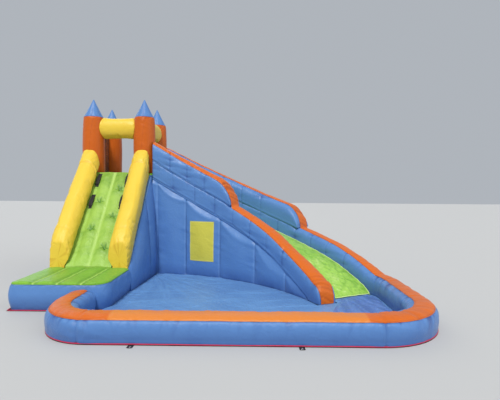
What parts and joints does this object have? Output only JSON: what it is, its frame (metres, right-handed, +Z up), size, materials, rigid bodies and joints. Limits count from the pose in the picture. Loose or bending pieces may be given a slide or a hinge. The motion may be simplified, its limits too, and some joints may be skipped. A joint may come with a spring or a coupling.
{
  "type": "inflatable water slide",
  "caption": "Inflatable water slide: castle tower with a climbing wall, a curved slide between guards and a splash pool.",
  "frame": {"origin": "on the ground under the middle of the tower", "axes": "+X towards the slide, -Y towards the climber, +Z up"},
  "size_m": [4.6619, 4.6017, 2.7078],
  "materials": {
    "blue_fabric": "PVC-coated woven fabric, satin",
    "pool_blue": "lighter coated fabric, satin",
    "mat_blue": "darker coated fabric, satin",
    "orange_fabric": "coated fabric, satin",
    "yellow_fabric": "coated fabric, satin",
    "green_fabric": "coated fabric, satin",
    "red_piping": "bound piping",
    "black_webbing": "woven webbing, matt",
    "yellow_patch": "plain sewn patch, matt",
    "steel": "plated",
    "grey_plastic": "moulded, matt",
    "black_plastic": "moulded, matt",
    "orange_plastic": "moulded, satin"
  },
  "bodies": {
    "frame": {"climb_body": "blue_fabric", "platform_body": "blue_fabric", "tower_body": "blue_fabric", "tower_baffles": "blue_fabric", "rim_left": "blue_fabric", "rim_front": "blue_fabric", "rim_right": "blue_fabric", "slide_block_1": "blue_fabric", "slide_block_2": "blue_fabric", "slide_block_3": "blue_fabric", "slide_block_4": "blue_fabric", "inner_guard_lower": "blue_fabric", "inner_guard_upper": "blue_fabric", "outer_guard_lower": "blue_fabric", "outer_guard_upper": "blue_fabric", "spire_front_left": "blue_fabric", "spire_front_right": "blue_fabric", "spire_back_left": "blue_fabric", "spire_back_right": "blue_fabric", "inflation_sleeve": "blue_fabric", "pool_floor": "pool_blue", "splash_mat": "mat_blue", "post_front_left": "orange_fabric", "post_front_right": "orange_fabric", "post_back_left": "orange_fabric", "post_back_right": "orange_fabric", "rim_strip": "orange_fabric", "inner_guard_strip": "orange_fabric", "outer_guard_strip": "orange_fabric", "rail_left": "yellow_fabric", "rail_right": "yellow_fabric", "beam_front": "yellow_fabric", "beam_right": "yellow_fabric", "climb_ramp": "green_fabric", "slide_lane": "green_fabric", "platform_top": "green_fabric", "deck_pad": "green_fabric", "base_piping": "red_piping", "ground_sheet": "black_webbing", "net_left": "black_webbing", "handle_left_low": "black_webbing", "handle_left_high": "black_webbing", "handle_right_low": "black_webbing", "handle_right_high": "black_webbing", "sleeve_strap": "black_webbing", "zip_tape": "black_webbing", "wall_patch": "yellow_patch", "intake_grille": "steel", "blower_shell_left": "grey_plastic", "blower_shell_right": "grey_plastic", "blower_outlet": "grey_plastic", "blower_stand": "black_plastic", "motor": "black_plastic", "blower_grip": "black_plastic", "switch_box": "black_plastic", "cable_gland": "black_plastic"},
    "impeller_wheel": {"impeller": "black_plastic", "motor_shaft": "steel"},
    "slider": {"zip_slider": "steel"},
    "switch": {"rocker": "orange_plastic"}
  },
  "joints": [
    {"name": "impeller_spin", "type": "hinge", "parent": "frame", "child": "impeller_wheel", "pos_m": [0, 1.02, 0.205], "axis": [1, 0, 0], "continuous": true},
    {"name": "zip_slide", "type": "slide", "parent": "frame", "child": "slider", "axis": [1, 0, 0], "range_m": [0, 0.314]},
    {"name": "rocker_tilt", "type": "hinge", "parent": "frame", "child": "switch", "pos_m": [0, 1.206, 0.226], "axis": [1, 0, 0], "range_deg": [-10, 10]}
  ]
}
